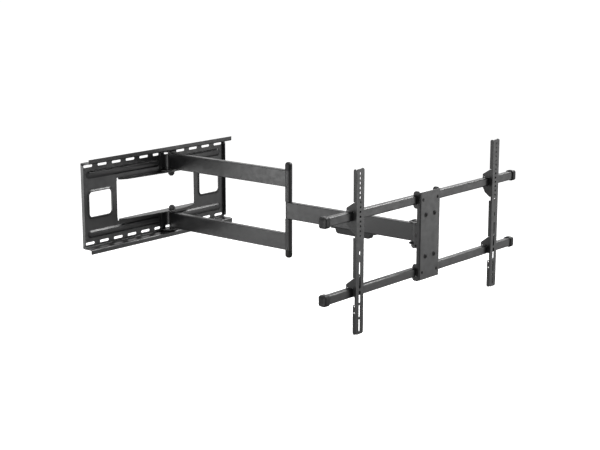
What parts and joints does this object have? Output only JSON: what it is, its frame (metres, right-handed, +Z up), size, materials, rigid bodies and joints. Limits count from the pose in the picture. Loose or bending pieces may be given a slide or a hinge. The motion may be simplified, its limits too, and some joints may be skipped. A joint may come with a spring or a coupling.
{
  "type": "full motion tv wall mount",
  "caption": "Full motion television wall mount: slotted wall plate, folding arms on an elbow post, swivelling and tilting head, cross rails and hook-on screen brackets.",
  "frame": {"origin": "centre of the wall plate's back face, on the wall, at the middle of its wall slots", "axes": "+X right along the wall, +Y into the wall, +Z up; the arm stands out along -Y"},
  "size_m": [0.93, 1.0655, 0.453],
  "materials": {
    "powder_coat": "satin black powder coat on steel",
    "fastener_black": "black zinc plated steel",
    "bush_nylon": "black nylon",
    "moulded_plastic": "moulded matte black plastic"
  },
  "bodies": {
    "wall": {"wall_plate": "powder_coat", "shoulder_bracket_upper": "powder_coat", "shoulder_bracket_lower": "powder_coat", "shoulder_bolts": "fastener_black", "shoulder_nuts": "fastener_black", "shoulder_washers": "fastener_black"},
    "lower_arm": {"lower_arm_tube_upper": "powder_coat", "lower_arm_tube_lower": "powder_coat", "shoulder_sleeves": "powder_coat", "shoulder_bushes": "bush_nylon", "elbow_knuckles": "powder_coat", "elbow_spacers": "powder_coat", "elbow_pin": "fastener_black", "elbow_nuts": "fastener_black", "elbow_nut_washers": "fastener_black", "elbow_caps": "moulded_plastic"},
    "upper_arm": {"upper_arm_tube": "powder_coat", "elbow_sleeve": "powder_coat", "elbow_bushes": "bush_nylon", "head_sleeve": "powder_coat", "head_bushes": "bush_nylon", "cable_cover": "moulded_plastic", "cable_cover_screws": "fastener_black"},
    "head_swivel": {"head_yoke": "powder_coat", "head_bolt": "fastener_black", "head_nut": "fastener_black", "head_washers": "fastener_black", "tilt_bolt": "fastener_black", "tilt_nut": "fastener_black", "tilt_washers": "bush_nylon"},
    "tilt_head": {"tilt_channel": "powder_coat", "level_bolts": "fastener_black"},
    "rail_frame": {"centre_plate": "powder_coat", "rail_upper": "powder_coat", "rail_lower": "powder_coat", "rail_end_caps": "moulded_plastic", "corner_screws": "fastener_black", "corner_spacers": "fastener_black"},
    "tv_bracket_left": {"tv_bracket_left": "powder_coat"},
    "tv_bracket_right": {"tv_bracket_right": "powder_coat"}
  },
  "joints": [
    {"name": "shoulder", "type": "hinge", "parent": "wall", "child": "lower_arm", "pos_m": [0.048, -0.024, 0], "axis": [0, 0, 1], "range_deg": [-90, 90]},
    {"name": "elbow", "type": "hinge", "parent": "lower_arm", "child": "upper_arm", "pos_m": [0.048, -0.534, 0], "axis": [0, 0, -1], "range_deg": [-112, 103]},
    {"name": "head_swivel", "type": "hinge", "parent": "upper_arm", "child": "head_swivel", "pos_m": [0.048, -1.009, 0], "axis": [0, 0, 1], "range_deg": [-80, 80]},
    {"name": "tilt", "type": "hinge", "parent": "head_swivel", "child": "tilt_head", "pos_m": [0.048, -1.042, 0], "axis": [1, 0, 0], "range_deg": [-5, 15]},
    {"name": "level", "type": "hinge", "parent": "tilt_head", "child": "rail_frame", "pos_m": [0.048, -1.062, 0], "axis": [0, 1, 0], "range_deg": [-3, 3]},
    {"name": "bracket_slide_left", "type": "slide", "parent": "rail_frame", "child": "tv_bracket_left", "axis": [1, 0, 0], "range_m": [-0.09, 0.225]},
    {"name": "bracket_slide_right", "type": "slide", "parent": "rail_frame", "child": "tv_bracket_right", "axis": [1, 0, 0], "range_m": [-0.236, 0.09]}
  ]
}
